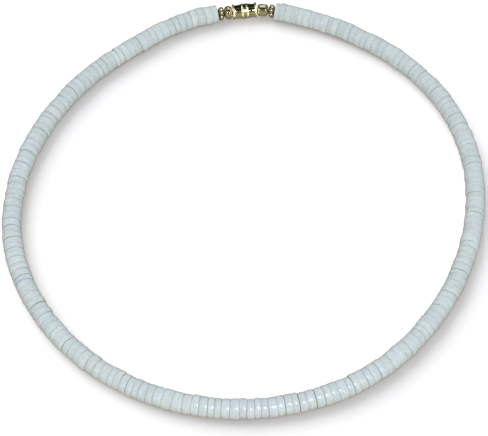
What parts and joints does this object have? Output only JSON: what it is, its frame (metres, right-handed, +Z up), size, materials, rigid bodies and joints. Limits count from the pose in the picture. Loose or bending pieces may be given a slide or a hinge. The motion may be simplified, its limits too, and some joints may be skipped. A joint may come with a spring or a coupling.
{
  "type": "shell disc necklace",
  "caption": "Choker of white shell discs strung face to face, lying fastened with a small gold-coloured barrel screw clasp between round and flower-shaped metal beads.",
  "frame": {"origin": "on the surface that the necklace lies on, under the middle of its loop", "axes": "+Z up from the surface, +Y towards the clasp, +X to the right seen from the front"},
  "size_m": [0.1523, 0.1531, 0.0064],
  "materials": {
    "shell": "satin",
    "gold_metal": "polished",
    "thread": "matte"
  },
  "bodies": {
    "root": {"shell_run_01": "shell", "shell_run_02": "shell", "shell_run_03": "shell", "shell_run_04": "shell", "shell_run_05": "shell", "shell_run_06": "shell", "shell_run_07": "shell", "shell_run_08": "shell", "shell_run_09": "shell", "shell_run_10": "shell", "shell_run_11": "shell", "shell_run_12": "shell", "shell_run_13": "shell", "shell_run_14": "shell", "shell_run_15": "shell", "shell_run_16": "shell", "clasp_socket": "gold_metal", "clasp_screw": "gold_metal", "round_bead": "gold_metal", "long_bead": "gold_metal", "spacer_left": "gold_metal", "spacer_right": "gold_metal", "thread": "thread"}
  },
  "joints": []
}
